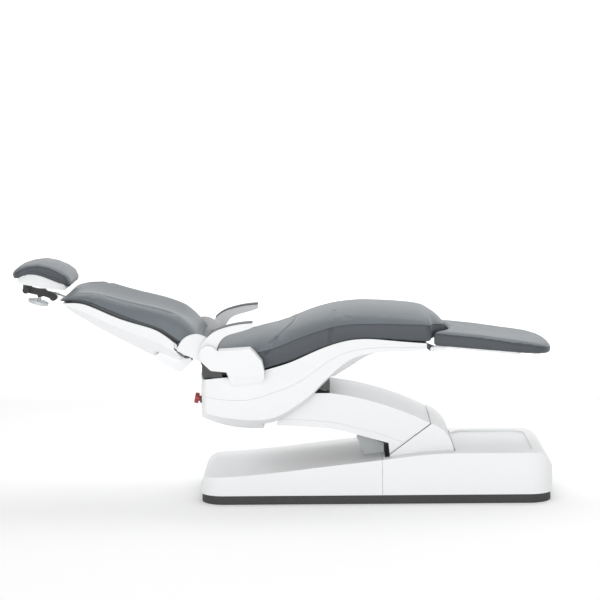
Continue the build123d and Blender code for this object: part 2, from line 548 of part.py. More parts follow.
board = prism(band_face(shifted(BACK_TOP[:-1], -0.6), shifted(BACK_TOP[:-1], -8)), -243, 243)
board = board & block(-1108, -724, -260, 260, 400, 900)
back_frame = board
hinge = [(-609, 589), (-640, 583), (-700, 577), (-730, 592), (-790, 643), (-850, 664), (-800, 624), (-735, 585), (-700, 557), (-640, 548), (-609, 549)]
for side in (-1, 1):
    y0, y1 = min(side * 232.5, side * 243), max(side * 232.5, side * 243)
    back_frame = back_frame + slab(hinge, y0, y1) + rod_y(RECLINE_AXIS, 20, y0, y1)
back_frame = back_frame - rod_y(RECLINE_AXIS, 12 + PIN_FIT, -250, 250)

back_dir = (-math.cos(math.radians(BACK_ANGLE)), math.sin(math.radians(BACK_ANGLE)))
back_perp = (-math.sin(math.radians(BACK_ANGLE)), -math.cos(math.radians(BACK_ANGLE)))


def on_ram(along, across=57):
    x = RECLINE_AXIS[0] + back_perp[0] * across + back_dir[0] * along
    z = RECLINE_AXIS[1] + back_perp[1] * across + back_dir[1] * along
    return (x, z)


def ram_rod(a, b, radius, across=57):
    p, q = on_ram(a, across), on_ram(b, across)
    return rod_along((p[0], 0, p[1]), (q[0], 0, q[1]), radius)


tail = on_ram(318)
for side in (-1, 1):
    y0, y1 = min(side * 14, side * 24), max(side * 14, side * 24)
    hang = [on_ram(300), on_ram(336), on_ram(336, 0), on_ram(300, 0)]
    back_frame = back_frame + (slab(hang, y0, y1) & slab([(-1137, 500), (-600, 500), (-600, 573), (-754, 614), (-795, 642), (-850, 662), (-924, 685), (-997, 716), (-1137, 740)], -40, 40))
    back_frame = back_frame + rod_y(tail, 15, y0, y1)
back_frame = back_frame - rod_y(tail, 8, -40, 40)
back_frame = back_frame - (above_back & block(-1301, -726, -290, 290, 500, 990))
add("backrest_frame", back_frame)
add("back_actuator_pin", rod_y(tail, 8, -26, 26))

back_tube = ram_rod(78, 240, 21) + ram_rod(240, 290, 26) + ram_rod(290, 306, 11) + rod_y(tail, 13, -13, 13)
back_tube = back_tube - ram_rod(60, 232, 10 + PIN_FIT) - rod_y(tail, 8 + PIN_FIT, -20, 20)
add("back_actuator", back_tube)
SLOT_S = CRANK_R * math.sin(math.radians(18))
slot_a, slot_b = on_ram(SLOT_S, 57 - 6.5), on_ram(SLOT_S, 57 + 6.5)
slot_cut = slab(bar_points(slot_a, slot_b, -10.4, 10.4), -20, 20) + rod_y(slot_a, 10.4, -20, 20) + rod_y(slot_b, 10.4, -20, 20)
eye_outer = slab(bar_points(slot_a, slot_b, -17, 17), -14, 14) + rod_y(slot_a, 17, -14, 14) + rod_y(slot_b, 17, -14, 14)
back_rod = ram_rod(SLOT_S + 12, 215, 10) + eye_outer - slot_cut
add("back_rod", back_rod)

for side, name in ((-1, "right"), (1, "left")):
    y0, y1 = min(side * 250.5, side * 262), max(side * 250.5, side * 262)
    disc = rod_y((-656, 569), 67, y0, y1)
    disc = disc - slab([(-760, 593), (-560, 496), (-560, 400), (-760, 400)], y0 - 1, y1 + 1)
    disc = disc - rod_y(RECLINE_AXIS, 13, y0 - 1, y1 + 1)
    disc = disc - slab([(-574, 400), (-560, 400), (-560, 700), (-574, 700)], y0 - 1, y1 + 1)
    disc = fillet(disc.edges().filter_by(lambda e: abs(abs(e.center().Y) - 262) < 0.5 and e.length > 100), 3)
    s0, s1 = min(side * 243.2, side * 250.5), max(side * 243.2, side * 250.5)
    disc = disc + rod_y((-672, 572), 12, s0, s1)
    add("hinge_cover_" + name, disc)

BACK_CROWN = [(-1154, 757), (-1147, 768), (-1121, 777), (-1085, 782), (-1038, 782), (-999, 775), (-950, 761), (-896, 748), (-817, 730), (-758, 714), (-718, 696), (-679, 664), (-650, 624), (-638, 598)]
BACK_LOW = shifted(BACK_TOP[:-1], 0.3)
cushion_low = [(-1150, 750)] + BACK_LOW[1:-1] + [(-722, 597)]
back_cushion_face = side_face(
    ("curve", BACK_CROWN),
    ("line", [(-638, 598), (-650, 592), (-722, 597)]),
    ("curve", list(reversed(cushion_low))),
    ("line", [(-1150, 750), (-1154, 757)]),
)
back_plan = [
    arc((-1100, -254), (-1154, 0), (-1100, 254)),
    Edge.make_spline([Vector(-1100, 254, 0), Vector(-1000, 258, 0), Vector(-850, 259, 0), Vector(-780, 254, 0), Vector(-735, 244, 0)]),
    line((-735, 244), (-600, 240)),
    line((-600, 240), (-600, -240)),
    line((-600, -240), (-735, -244)),
    Edge.make_spline([Vector(-735, -244, 0), Vector(-780, -254, 0), Vector(-850, -259, 0), Vector(-1000, -258, 0), Vector(-1100, -254, 0)]),
]
back_cushion = prism(back_cushion_face, -265, 265) & plan_solid(back_plan, 500, 900)
back_cushion = back_cushion & (Pos(0, 0, 0.4) * above_back)
add("backrest_cushion", back_cushion)

# ---------------------------------------------------------------- headrest
def head_line(x):
    return 735 - (x + 1151) * HEAD_SLOPE


def head_bar(x0, x1, half):
    return [(x0, head_line(x0) - half), (x1, head_line(x1) - half), (x1, head_line(x1) + half), (x0, head_line(x0) + half)]


guide = slab(head_bar(-1120, -1068, 15), -32, 32)
for plate in pair(head_bar(-1140, -1040, 9.1), 15.9, 24.1):
    guide = guide - plate
guide = (guide & back_solid(245.5, 171.5, 5.2, 60, 5)) - above_back
add("headrest_guide", guide)

bars = None
for plate in pair(head_bar(-1192, -985, 9), 16, 24):
    bars = plate if bars is None else bars + plate
for side in (-1, 1):
    y0, y1 = min(side * 16, side * 24), max(side * 16, side * 24)
    bars = bars + rod_y(HEAD_LOWER_AXIS, 13, y0, y1) + slab([(-1206, 758), (-1188, 762), (-1180, 742), (-1198, 738)], y0, y1)
bars = bars + slab(head_bar(-996, -986, 9), -20, 20)
bars = bars - rod_y(HEAD_LOWER_AXIS, 6, -30, 30)
add("headrest_bar", bars)
add("headrest_lower_knob", rod_y(HEAD_LOWER_AXIS, 14, -38, -24.3) + rod_y(HEAD_LOWER_AXIS, 5.95, -24.4, 24.2) + rod_y(HEAD_LOWER_AXIS, 11, 24.2, 32))

lx, lz = HEAD_LOWER_AXIS
ux, uz = HEAD_UPPER_AXIS
link_poly = [(lx, lz - 12), (-1240, 751), (-1262, 747), (-1264, 756), (ux, uz - 12), (ux, uz + 12), (-1262, 779), (-1236, 778), (-1228, 770), (lx, lz + 13)]
head_link = slab(link_poly, -14, 14) + rod_y(HEAD_LOWER_AXIS, 12.5, -14, 14) + rod_y(HEAD_UPPER_AXIS, 12.5, -14, 14)
head_link = head_link - rod_y(HEAD_LOWER_AXIS, 6 + PIN_FIT, -20, 20) - rod_y(HEAD_UPPER_AXIS, 6 + PIN_FIT, -20, 20)
link_dir = Vector(lx - ux, 0, lz - uz).normalized()
down = Vector(link_dir.Z, 0, -link_dir.X)
mid = Vector(-1253, 0, 763)
stem_bore = rod_along(tuple(mid), tuple(mid + down * 60), 7 + PIN_FIT)
head_link = head_link - stem_bore
add("headrest_link", head_link)
lock = rod_along(tuple(mid + down * 2), tuple(mid + down * 30), 7)
wheel = rod_along(tuple(mid + down * 28), tuple(mid + down * 44), 39)
wheel = fillet(wheel.edges().filter_by(GeomType.CIRCLE), 5)
for k in range(4):
    angle = math.radians(45 + 90 * k)
    side_dir = Vector(0, 1, 0)
    spot = mid + link_dir * (25 * math.cos(angle)) + side_dir * (25 * math.sin(angle))
    wheel = wheel - rod_along(tuple(spot + down * 20), tuple(spot + down * 50), 7.5)
add("headrest_lock_knob", lock + wheel)

bracket = None
for side in (-1, 1):
    y0, y1 = min(side * 16, side * 24), max(side * 16, side * 24)
    plate = slab([(ux - 13, uz), (ux + 13, uz), (ux + 24, 806), (ux + 30, 812), (ux - 2, 814), (ux - 12, 800)], y0, y1) + rod_y(HEAD_UPPER_AXIS, 13, y0, y1)
    bracket = plate if bracket is None else bracket + plate
bracket = bracket + block(ux - 10, ux + 32, -24, 24, 795, 816)
bracket = bracket - rod_y(HEAD_UPPER_AXIS, 6, -30, 30)
HEAD_UNDER = [(-1322, 812), (-1300, 806), (-1276, 802), (-1219, 791), (-1180, 786), (-1146, 784)]
HEAD_LOW = [(-1330, 824), (-1317, 832), (-1300, 841), (-1283, 845), (-1249, 843), (-1214, 832.5), (-1147, 808.5), (-1135, 791)]
HEAD_CROWN = [(-1135, 791), (-1124, 795), (-1120, 812), (-1140, 845), (-1190, 875), (-1242, 887), (-1300, 874), (-1330, 857), (-1345, 838)]
head_shell_face = side_face(
    ("curve", HEAD_UNDER),
    ("line", [(-1146, 784), (-1140, 789), (-1146, 806)]),
    ("curve", [(-1146, 806), (-1214, 831), (-1249, 842), (-1283, 844), (-1300, 840), (-1317, 831)]),
    ("line", [(-1317, 831), (-1326, 820), (-1322, 812)]),
)
head_shell = prism(head_shell_face, -118, 118)
head_shell = chamfer(head_shell.edges().filter_by(lambda e: abs(abs(e.center().Y) - 118) < 0.5 and e.center().Z < 800 and e.length > 100), 12)
bracket = bracket - (Pos(0, 0, -0.2) * prism(side_face(("curve", HEAD_UNDER), ("line", [(-1146, 784), (-1146, 900), (-1322, 900), (-1322, 812)])), -30, 30))
add("headrest_bracket", bracket)
add("headrest_upper_knob", rod_y(HEAD_UPPER_AXIS, 13, -38, -24.3) + rod_y(HEAD_UPPER_AXIS, 5.95, -24.4, 24.2) + rod_y(HEAD_UPPER_AXIS, 11, 24.2, 32))
add("headrest_shell", head_shell)
head_cushion_face = side_face(("curve", HEAD_CROWN), ("line", [(-1345, 838), (-1342, 824), (-1330, 824)]), ("curve", HEAD_LOW))
head_cushion = prism(head_cushion_face, -140, 140)
add("headrest_cushion", head_cushion)

# ---------------------------------------------------------------- footrest
foot_face = side_face(
    ("line", [(209, 577), (209, 627), (213, 630)]),
    ("curve", [(213, 630), (386, 611), (580, 581), (640, 568), (662, 560)]),
    ("line", [(662, 560), (662, 532), (609, 541), (222, 577), (209, 577)]),
)
foot_inner = [(x + 6, y) for x, y in FOOT_END[3:-3]]
foot_plan_edges = [
    Edge.make_spline([Vector(x, y, 0) for x, y in foot_inner]),
    line((211, 198), (560, 198)),
    arc((560, 198), (612, 178), (640, 130)),
    arc((640, 130), (660, 0), (640, -130)),
    arc((640, -130), (612, -178), (560, -198)),
    line((560, -198), (211, -198)),
]
foot_board = prism(foot_face, -200, 200) & plan_solid(foot_plan_edges, 450, 700)
add("footrest_board", foot_board)
plate_plan = [
    arc((215, -182), (285, 0), (215, 182)),
    line((215, 182), (500, 182)),
    arc((500, 182), (526, 170), (536, 140)),
    line((536, 140), (536, -140)),
    arc((536, -140), (526, -170), (500, -182)),
    line((500, -182), (215, -182)),
]
plate_face = [(212, 577.2), (222, 576.2), (609, 540.2), (609, 533), (222, 569), (212, 570)]
foot_plate = slab(plate_face, -190, 190) & plan_solid(plate_plan, 450, 700)
for sy in (-1, 1):
    y0, y1 = min(sy * 173, sy * 189), max(sy * 173, sy * 189)
    foot_plate = foot_plate + rod_y(FOOTREST_AXIS, 9, y0, y1) + slab([(210, 556), (260, 561), (260, 570), (213, 572)], y0, y1)
foot_plate = foot_plate - rod_y(FOOTREST_AXIS, 6 + PIN_FIT, -195, 195)
add("footrest_plate", foot_plate)
pins = [rod_y(FOOTREST_AXIS, 6, -191, -149), rod_y(FOOTREST_AXIS, 6, 149, 191)]
group("footrest_pins", pins)

os.makedirs("parts", exist_ok=True)
for node, shape in NODES.items():
    export_step(shape, "parts/" + node + ".step")
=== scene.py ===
import bpy
import bmesh
import json
import math
import numpy as np
from mathutils import Matrix, Vector
from mathutils.bvhtree import BVHTree


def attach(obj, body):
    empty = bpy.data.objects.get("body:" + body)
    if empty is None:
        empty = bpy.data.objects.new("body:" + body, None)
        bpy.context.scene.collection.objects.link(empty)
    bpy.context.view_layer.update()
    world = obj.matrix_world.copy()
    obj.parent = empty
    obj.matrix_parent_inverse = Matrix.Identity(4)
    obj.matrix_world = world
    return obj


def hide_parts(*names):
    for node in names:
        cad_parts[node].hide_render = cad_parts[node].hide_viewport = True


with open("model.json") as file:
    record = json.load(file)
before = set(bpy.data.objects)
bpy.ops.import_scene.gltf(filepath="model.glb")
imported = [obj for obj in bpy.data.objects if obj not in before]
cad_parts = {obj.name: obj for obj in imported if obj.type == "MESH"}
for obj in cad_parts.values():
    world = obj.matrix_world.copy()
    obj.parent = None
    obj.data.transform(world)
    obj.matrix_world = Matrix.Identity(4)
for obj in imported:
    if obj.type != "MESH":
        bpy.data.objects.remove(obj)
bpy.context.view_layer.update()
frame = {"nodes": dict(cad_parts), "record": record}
NODES = frame["nodes"]
scene = bpy.context.scene

SHARP_EDGE = 32            # degrees; edges flatter than this are left alone
FINE, SMALL, PAD_EDGE, BROAD = 0.0009, 0.0012, 0.0025, 0.0045      # edge rounding, metres
CLOTH_FRAMES = 20
SEAM_BEAD, HEAD_BEAD = 0.0015, 0.0013                              # piping radii, metres
SEAT_SIDE = 0.178          # X where the seat's straight side ends and its foot end begins
HEAD_HALF = 0.138          # the headrest cushion's half width
BOARD_HALF, BOARD_START, BOARD_STRAIGHT = 0.194, 0.213, 0.347      # footboard half width, side start and length
FLOOR_GLOW, WORLD_LIGHT = 0.16, 0.56
CAMERA_SPOT = (-0.16603, -7.25, 1.6)
CAMERA_PITCH, CAMERA_YAW, CAMERA_ROLL = 6.865, 0.884, 0.6          # degrees
LENS, SENSOR, FAR_CLIP = 116.67, 36, 200                           # mm, mm, metres


# ------------------------------------------------------------------ materials
def linear(r, g, b):
    """Linear colour from 8-bit screen values."""
    def one(v):
        v = v / 255
        return v / 12.92 if v <= 0.04045 else ((v + 0.055) / 1.055) ** 2.4
    return (one(r), one(g), one(b), 1)


def shade(color, amount):
    """The colour made lighter or darker, kept opaque."""
    return tuple(min(1, c * amount) for c in color[:3]) + (1,)


def material(name, color, rough, vary=0.06, vary_scale=6, bump=(), metallic=0, coat=0, sheen=0,
             transmission=0):
    """Principled surface with gentle colour and gloss variation, and any number of bumps.

    Each bump is (kind, scale, height in metres).
    """
    mat = bpy.data.materials.new(name)
    mat.use_nodes = True
    tree = mat.node_tree
    n, link = tree.nodes, tree.links.new
    shader = n["Principled BSDF"]
    shader.inputs["Metallic"].default_value = metallic
    shader.inputs["Coat Weight"].default_value = coat
    shader.inputs["Coat Roughness"].default_value = 0.25
    shader.inputs["Sheen Weight"].default_value = sheen
    shader.inputs["Transmission Weight"].default_value = transmission
    where = n.new("ShaderNodeTexCoord")
    cloud = n.new("ShaderNodeTexNoise")
    cloud.inputs["Scale"].default_value = vary_scale
    cloud.inputs["Detail"].default_value = 5
    link(where.outputs["Object"], cloud.inputs["Vector"])
    ramp = n.new("ShaderNodeValToRGB")
    ramp.color_ramp.elements[0].position = 0.3
    ramp.color_ramp.elements[1].position = 0.7
    ramp.color_ramp.elements[0].color = shade(color, 1 - vary)
    ramp.color_ramp.elements[1].color = shade(color, 1 + vary)
    link(cloud.outputs["Fac"], ramp.inputs["Fac"])
    link(ramp.outputs["Color"], shader.inputs["Base Color"])
    gloss = n.new("ShaderNodeMapRange")
    gloss.inputs["To Min"].default_value = max(0.05, rough - 0.06)
    gloss.inputs["To Max"].default_value = min(1, rough + 0.06)
    link(cloud.outputs["Fac"], gloss.inputs["Value"])
    link(gloss.outputs["Result"], shader.inputs["Roughness"])
    last = None
    for kind, scale, height in bump:
        if kind == "cells":
            tex = n.new("ShaderNodeTexVoronoi")
            out = "Distance"
        else:
            tex = n.new("ShaderNodeTexNoise")
            tex.inputs["Detail"].default_value = 4
            out = "Fac"
        tex.inputs["Scale"].default_value = scale
        link(where.outputs["Object"], tex.inputs["Vector"])
        step = n.new("ShaderNodeBump")
        step.inputs["Distance"].default_value = height
        step.inputs["Strength"].default_value = 0.6
        link(tex.outputs[out], step.inputs["Height"])
        if last:
            link(last.outputs["Normal"], step.inputs["Normal"])
        last = step
    if last:
        link(last.outputs["Normal"], shader.inputs["Normal"])
    return mat


GRAIN = (("noise", 9, 0.004), ("cells", 520, 0.0004), ("noise", 1500, 0.0002))
TOP = material("leather_top", linear(112, 119, 124), 0.44, 0.06, 7, GRAIN, sheen=0.05)
# The same grey leather darkened as painted shade, for side and underside faces that the lamps light less.
LEATHER_SHADE = material("leather_painted_shade", linear(74, 79, 84), 0.5, 0.06, 7, GRAIN)
# The same grey leather darkened further as painted shade, for the seat's hip end, the backrest rim and
# underside, and the hip cover.
LEATHER_DEEP_SHADE = material("leather_painted_deep_shade", linear(72, 76, 79), 0.52, 0.06, 8, GRAIN)
PIPE = material("piping", linear(70, 74, 79), 0.5, 0.04, 30, (("cells", 700, 0.0003),))
THREAD = material("thread", linear(128, 133, 138), 0.7, 0.05, 60, (("noise", 2500, 0.0002),))
WHITE = material("white_shell_paint", linear(238, 239, 240), 0.42, 0.012, 3, (("noise", 260, 0.00008),),
                 coat=0.06)
# The hood is white plastic; this grey is painted shade from the arm above it.
HOOD_PAINTED_SHADE = material("hood_painted_shade", linear(195, 199, 200), 0.5, 0.02, 6, (("noise", 500, 0.0001),))
SKIRT = material("skirt_rubber", linear(64, 64, 65), 0.72, 0.06, 12, (("noise", 700, 0.0003),))
PAD = material("pad_rubber", linear(112, 117, 121), 0.58, 0.04, 12, (("cells", 620, 0.0003),))
PAINT = material("frame_paint", linear(64, 64, 63), 0.42, 0.08, 10, (("noise", 600, 0.00015),))
STEEL = material("brushed_steel", linear(186, 187, 189), 0.3, 0.05, 40, (("noise", 1800, 0.00008),),
                 metallic=1)
BLACK = material("black_moulding", linear(32, 32, 33), 0.5, 0.08, 14, (("noise", 900, 0.0002),))
RED = material("stop_red", linear(163, 50, 45), 0.34, 0.04, 20, (("noise", 500, 0.0001),), coat=0.3)
CLEAR = material("knob_moulding", linear(214, 219, 222), 0.3, 0.03, 20, (("noise", 500, 0.0001),), coat=0.3,
                 transmission=0.15)
FLOOR = material("studio_floor", (0.95, 0.95, 0.95, 1), 0.95, 0.004, 0.6, (("noise", 90, 0.0001),))
FLOOR.node_tree.nodes["Principled BSDF"].inputs["Emission Color"].default_value = (1, 1, 1, 1)
FLOOR.node_tree.nodes["Principled BSDF"].inputs["Emission Strength"].default_value = FLOOR_GLOW

FINISH = {"white": WHITE, "leather_grey": TOP, "pad_grey": PAD, "skirt_grey": SKIRT, "hood_grey": HOOD_PAINTED_SHADE,
          "frame_paint": PAINT, "steel": STEEL, "black_plastic": BLACK, "stop_red": RED,
          "knob_clear": CLEAR}
for entry in frame["record"]["subparts"]:
    piece = NODES[entry["node"]]
    if not piece.material_slots:
        piece.data.materials.append(FINISH[entry["material_slot"]])
    for socket in piece.material_slots:
        socket.material = FINISH[entry["material_slot"]]
# The hip cover gets the leather darkened as painted shade, for the shade it sits in at the hip end.
for socket in NODES["hip_cover"].material_slots:
    socket.material = LEATHER_DEEP_SHADE


# ------------------------------------------------------------------ softened edges on the carried-over parts
def soften(name, width, segments):
    """Round every edge sharper than SHARP_EDGE by the width, in metres."""
    piece = NODES[name]
    mod = piece.modifiers.new("edge", "BEVEL")
    mod.width = width
    mod.segments = segments
    mod.limit_method = "ANGLE"
    mod.angle_limit = math.radians(SHARP_EDGE)
    mod.use_clamp_overlap = True


for name in ("base_head_cover", "base_foot_cover", "seat_shell_upper", "seat_shell_lower",
             "backrest_shell"):
    soften(name, SMALL, 2)
for name in ("arm_cover", "arm_root_cover", "arm_lower_band", "base_skirt", "base_hood",
             "hinge_cover_right", "hinge_cover_left"):
    soften(name, SMALL, 2)
for name in ("armrest_bracket_right", "armrest_bracket_left", "armrest_right", "armrest_left"):
    soften(name, BROAD, 4)
for name in ("armrest_pad_right", "armrest_pad_left", "estop_button", "headrest_shell"):
    soften(name, PAD_EDGE, 3)
for name in ("headrest_link", "headrest_bar", "headrest_lower_knob", "headrest_upper_knob",
             "headrest_lock_knob", "hip_cover",
             "seat_frame", "backrest_frame", "lift_arm_frame", "base_frame", "level_link", "footrest_plate",
             "estop_collar"):
    soften(name, FINE, 2)


# ------------------------------------------------------------------ profile tools
def smooth_line(points, radius=0.012):
    """A function z(x) through the points (millimetres in, metres out), rounded over about the radius."""
    pts = np.array(points, float) / 1000
    order = np.argsort(pts[:, 0])
    x = np.linspace(pts[:, 0].min() - 0.05, pts[:, 0].max() + 0.05, 1600)
    z = np.interp(x, pts[order, 0], pts[order, 1])
    step = x[1] - x[0]
    reach = int(4 * radius / step)
    kernel = np.exp(-0.5 * (np.arange(-reach, reach + 1) * step / radius) ** 2)
    padded = np.pad(z, reach, mode="edge")
    z = np.convolve(padded, kernel / kernel.sum(), mode="valid")
    return lambda v: np.interp(v, x, z)


def loft_rings(name, rings):
    """Closed mesh from equal rings of 3-D points, with both ends filled."""
    mesh = bpy.data.meshes.new(name)
    bm = bmesh.new()
    made = [[bm.verts.new(p) for p in ring] for ring in rings]
    count = len(made[0])
    for a, b in zip(made, made[1:]):
        for i in range(count):
            j = (i + 1) % count
            bm.faces.new((a[i], a[j], b[j], b[i]))
    for ring in (made[0], made[-1]):
        centre = bm.verts.new(sum((v.co for v in ring), Vector()) / count)
        for i in range(count):
            bm.faces.new((ring[i], ring[(i + 1) % count], centre))
    bmesh.ops.recalc_face_normals(bm, faces=bm.faces)
    bm.to_mesh(mesh)
    bm.free()
    obj = bpy.data.objects.new(name, mesh)
    scene.collection.objects.link(obj)
    return obj


def apply_modifiers(obj):
    """Bakes every modifier into the mesh, so none is left on the piece."""
    graph = bpy.context.evaluated_depsgraph_get()
    mesh = bpy.data.meshes.new_from_object(obj.evaluated_get(graph))
    obj.modifiers.clear()
    obj.data = mesh


def puff(obj, voxel, cap, pressure=4):
    """Even skin, blown up a little as sewn leather over foam is.

    Every point stays within cap, in metres, of where it was.
    """
    mod = obj.modifiers.new("skin", "REMESH")
    mod.mode = "VOXEL"
    mod.voxel_size = voxel
    apply_modifiers(obj)
    before = np.empty(len(obj.data.vertices) * 3)
    obj.data.vertices.foreach_get("co", before)
    cloth = obj.modifiers.new("blow", "CLOTH")
    cloth.settings.use_pressure = True
    cloth.settings.uniform_pressure_force = pressure
    cloth.settings.effector_weights.gravity = 0
    cloth.settings.tension_stiffness = 25
    cloth.settings.compression_stiffness = 25
    cloth.settings.bending_stiffness = 2
    cloth.point_cache.frame_start = 1
    cloth.point_cache.frame_end = CLOTH_FRAMES
    for number in range(1, CLOTH_FRAMES + 1):
        scene.frame_set(number)
    apply_modifiers(obj)
    scene.frame_set(1)
    after = np.empty(len(obj.data.vertices) * 3)
    obj.data.vertices.foreach_get("co", after)
    move = (after - before).reshape(-1, 3)
    length = np.linalg.norm(move, axis=1, keepdims=True)
    move = move * np.minimum(1, cap / np.maximum(length, 1e-9))
    spots = before.reshape(-1, 3) + move
    obj.data.vertices.foreach_set("co", spots.ravel())
    sub = obj.modifiers.new("fine", "SUBSURF")
    sub.levels = 1
    sub.render_levels = 1
    apply_modifiers(obj)


def points_of(obj):
    """Vertex positions as rows of x, y, z."""
    co = np.empty(len(obj.data.vertices) * 3)
    obj.data.vertices.foreach_get("co", co)
    return co.reshape(-1, 3)


def press(obj, line, depth, width, top_only=True):
    """A sewn or folded line: the surface sinks along the points and swells a little beside them."""
    co = points_of(obj)
    normal = np.empty(len(obj.data.vertices) * 3)
    obj.data.vertices.foreach_get("normal", normal)
    normal = normal.reshape(-1, 3)
    line = np.array(line, float)
    near = np.full(len(co), 9.0)
    for a, b in zip(line, line[1:]):
        ab = b - a
        t = np.clip(((co - a) @ ab) / max(ab @ ab, 1e-12), 0, 1)
        near = np.minimum(near, np.linalg.norm(co - (a + t[:, None] * ab), axis=1))
    sink = (-depth * np.exp(-(near / width) ** 2)
            + 0.25 * depth * np.exp(-((near - 2.6 * width) / (1.6 * width)) ** 2))
    if top_only:
        sink = sink * (normal[:, 2] > -0.2)
    obj.data.vertices.foreach_set("co", (co + normal * sink[:, None]).ravel())
    obj.data.update()


def cling(obj, line, lift=0.0):
    """The line's points moved to the nearest spots on the surface, then raised by lift."""
    tree = BVHTree.FromObject(obj, bpy.context.evaluated_depsgraph_get())
    out = []
    for spot in line:
        hit, normal, _, _ = tree.find_nearest(Vector(spot))
        out.append(tuple(hit + normal * lift))
    return out


def tube(name, line, radius, mat, body):
    """A round bead of one material along a line, riding on a body."""
    curve = bpy.data.curves.new(name, "CURVE")
    curve.dimensions = "3D"
    curve.bevel_depth = radius
    curve.bevel_resolution = 3
    spline = curve.splines.new("POLY")
    spline.points.add(len(line) - 1)
    for point, spot in zip(spline.points, line):
        point.co = (*spot, 1)
    curve.materials.append(mat)
    obj = bpy.data.objects.new(name, curve)
    scene.collection.objects.link(obj)
    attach(obj, body)


def stitches(name, line, body, pitch=0.0065, length=0.0042, radius=0.0006):
    """Short thread stitches along a line, as one piece."""
    line = np.array(line)
    along = np.concatenate([[0], np.cumsum(np.linalg.norm(np.diff(line, axis=0), axis=1))])
    curve = bpy.data.curves.new(name, "CURVE")
    curve.dimensions = "3D"
    curve.bevel_depth = radius
    curve.bevel_resolution = 1
    start = 0.0
    while start + length < along[-1]:
        spline = curve.splines.new("POLY")
        spline.points.add(1)
        for point, at in zip(spline.points, (start, start + length)):
            point.co = (*[np.interp(at, along, line[:, k]) for k in range(3)], 1)
        start += pitch
    curve.materials.append(THREAD)
    obj = bpy.data.objects.new(name, curve)
    scene.collection.objects.link(obj)
    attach(obj, body)


def paint(obj, choose, mats):
    """Material index per face from choose(centres, normals)."""
    obj.data.materials.clear()
    for mat in mats:
        obj.data.materials.append(mat)
    count = len(obj.data.polygons)
    centre = np.empty(count * 3)
    normal = np.empty(count * 3)
    obj.data.polygons.foreach_get("center", centre)
    obj.data.polygons.foreach_get("normal", normal)
    index = choose(centre.reshape(-1, 3), normal.reshape(-1, 3)).astype(np.int32)
    obj.data.polygons.foreach_set("material_index", index)
    obj.data.polygons.foreach_set("use_smooth", np.ones(count, bool))
    obj.data.update()


def settle(obj, body, node):
    """Puts a finished cushion on its body, in place of the plain CAD node."""
    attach(obj, body)
    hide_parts(node)


# ------------------------------------------------------------------ seat cushion
seat_crown = smooth_line([(-600, 566), (-575, 588), (-540, 596), (-500, 603), (-454, 613), (-411, 626),
                          (-356, 637), (-318, 649), (-268, 671), (-213, 691), (-165, 703), (-110, 712),
                          (-46, 717), (59, 712), (130, 705), (175, 697), (233, 671), (262, 640),
                          (270, 622)])
seat_seam = smooth_line([(-600, 556), (-560, 556), (-500, 557), (-438, 563), (-379, 577), (-327, 597),
                         (-285, 615), (-222, 638), (-172, 652), (-147, 660), (-63, 668), (48, 666),
                         (186, 661), (240, 648), (270, 632)])
seat_under = smooth_line([(-600, 469.5), (-545, 474), (-470, 483), (-401, 501), (-307, 530), (-244, 558),
                          (-167, 589), (-92, 608), (-36, 612), (47, 606), (120, 599), (186, 594.5),
                          (230, 598), (270, 602)], 0.004)
seat_half = smooth_line([(-600, 222), (-560, 223), (-500, 232), (-440, 244), (-400, 248), (-300, 248),
                         (178, 248)], 0.01)


def foot_half(x):
    """Half width of the rounded foot end of the seat, in metres."""
    if x < SEAT_SIDE:
        return float(seat_half(x))
    return float(np.interp(x, (0.178, 0.186, 0.199, 0.2045, 0.2065, 0.214, 0.236, 0.259, 0.268),
                           (0.248, 0.248, 0.243, 0.231, 0.199, 0.171, 0.124, 0.064, 0.0)))


def ring(x, half, under, seam, crown, squareness=2.9, bulge=0.003, dip=0.0, side_count=7, top_count=37,
         power=0.6):
    """One cross-section of a crowned cushion: flat base, bulged sides, and a top that may dip."""
    pts = []
    for y in np.linspace(-1, 1, 13):
        pts.append((x, y * (half - 0.004), under))
    for t in np.linspace(0.12, 1, side_count):
        pts.append((x, half + bulge * math.sin(math.pi * t) - 0.003 * (1 - t) ** 2,
                    under + t * (seam - under)))
    for t in np.linspace(1, -1, top_count)[1:-1]:
        rise = (1 - abs(t) ** squareness) ** power
        hollow = dip * math.cos(0.5 * math.pi * min(1, abs(t) / 0.72)) ** 1.3 if dip else 0
        pts.append((x, t * half, seam + (crown - seam) * rise - hollow))
    for t in np.linspace(1, 0.12, side_count):
        pts.append((x, -half - bulge * math.sin(math.pi * t) + 0.003 * (1 - t) ** 2,
                    under + t * (seam - under)))
    return pts


rings = []
for x in np.concatenate([np.linspace(-0.597, -0.575, 5), np.linspace(-0.560, 0.178, 62),
                         np.array([0.184, 0.190, 0.196, 0.2005, 0.2035, 0.2055, 0.2075, 0.212, 0.218, 0.226,
                                   0.235, 0.244, 0.252, 0.259, 0.2645, 0.2675])]):
    half = max(foot_half(x), 0.030)
    round_in = min(1.0, math.sqrt(max(0.0, (x + 0.6015) / 0.026))) if x < -0.5755 else 1.0
    under, seam, crown = float(seat_under(x)) + 0.0005, float(seat_seam(x)), float(seat_crown(x)) - 0.003
    crown = max(crown, seam + 0.002)
    rings.append(ring(x, half - 0.002, under, under + (seam - under) * (0.9 + 0.1 * round_in),
                      under + (crown - under) * (0.9 + 0.1 * round_in)))
seat = loft_rings("seat_cushion_skin", rings)
puff(seat, 0.006, 0.005)

